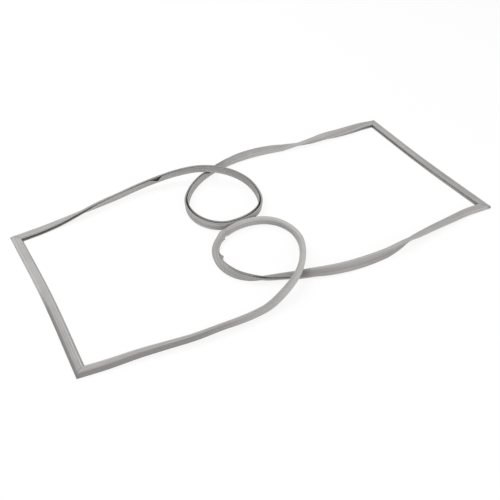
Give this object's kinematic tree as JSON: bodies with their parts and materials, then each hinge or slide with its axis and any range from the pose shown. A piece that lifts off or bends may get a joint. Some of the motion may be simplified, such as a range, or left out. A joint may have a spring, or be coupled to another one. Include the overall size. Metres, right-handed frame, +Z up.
{
  "type": "lid gasket",
  "caption": "Soft grey welded ring gasket of open C section with a ribbed mounting flange and mitred corners, packed with a coil in each long side.",
  "frame": {"origin": "centre of the packed ring's box, on the floor it lies on", "axes": "+X along the long sides, +Y towards the side whose coil lies farther back, +Z up"},
  "size_m": [1.2626, 0.643, 0.0538],
  "materials": {
    "gasket": "matt, finely ribbed soft PVC"
  },
  "bodies": {
    "root": {"gasket": "gasket"}
  },
  "joints": []
}
